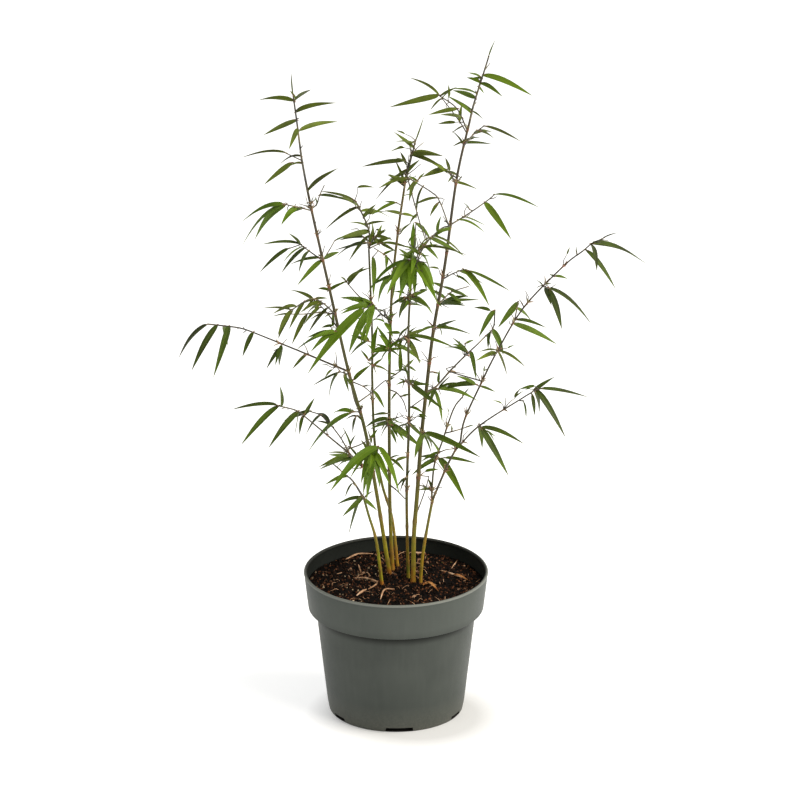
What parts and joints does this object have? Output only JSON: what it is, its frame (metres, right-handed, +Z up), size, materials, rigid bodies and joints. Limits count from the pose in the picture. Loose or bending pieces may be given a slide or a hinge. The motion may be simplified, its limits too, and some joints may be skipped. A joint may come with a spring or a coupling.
{
  "type": "potted bamboo",
  "caption": "Young clumping bamboo with slender upright canes, fine boughs and sparse lance-shaped leaves, in a round plastic nursery pot with a wide banded rim.",
  "frame": {"origin": "centre of the pot's flat underside", "axes": "+Z up along the pot's axis, -Y towards the front, +X to the right seen from the front"},
  "size_m": [0.5729, 0.3765, 0.8668],
  "materials": {
    "pot": "moulded dark grey-green polypropylene, satin",
    "soil": "moist bark and peat compost with straw and bark flakes",
    "canes": "smooth green-yellow cane with darker upper stretches, pale sheaths and raised joints",
    "foliage": "thin satin leaves on fine tan twigs"
  },
  "bodies": {
    "root": {"bough_far_right": "canes", "bough_left": "canes", "bough_low_left": "canes", "bough_low_right": "canes", "bough_right": "canes", "cane_back": "canes", "cane_centre": "canes", "cane_forked": "canes", "cane_front": "canes", "cane_short": "canes", "cane_tall_left": "canes", "cane_tall_right": "canes", "fork_left": "canes", "fork_right": "canes", "pot": "pot", "soil": "soil", "spray_back_top": "foliage", "spray_bright_front": "foliage", "spray_centre_low": "foliage", "spray_centre_right": "foliage", "spray_centre_top": "foliage", "spray_centre_tuft": "foliage", "spray_centre_waist": "foliage", "spray_far_foot": "foliage", "spray_far_low": "foliage", "spray_far_middle": "foliage", "spray_far_tip": "foliage", "spray_fork_left": "foliage", "spray_front_foot": "foliage", "spray_front_low": "foliage", "spray_front_right": "foliage", "spray_front_top": "foliage", "spray_front_waist": "foliage", "spray_left_bough": "foliage", "spray_left_bough_foot": "foliage", "spray_left_elbow": "foliage", "spray_left_front": "foliage", "spray_left_middle": "foliage", "spray_left_tip": "foliage", "spray_left_top": "foliage", "spray_left_upper": "foliage", "spray_left_waist": "foliage", "spray_low_left_foot": "foliage", "spray_low_left_side": "foliage", "spray_low_left_tip": "foliage", "spray_low_right": "foliage", "spray_low_right_tip": "foliage", "spray_right_bough": "foliage", "spray_right_bough_foot": "foliage", "spray_right_bough_tip": "foliage", "spray_right_elbow": "foliage", "spray_right_inner": "foliage", "spray_right_low": "foliage", "spray_right_middle": "foliage", "spray_right_shoulder": "foliage", "spray_right_top": "foliage", "spray_right_top_left": "foliage", "spray_right_upper": "foliage", "spray_right_waist": "foliage", "spray_short_top": "foliage"}
  },
  "joints": []
}
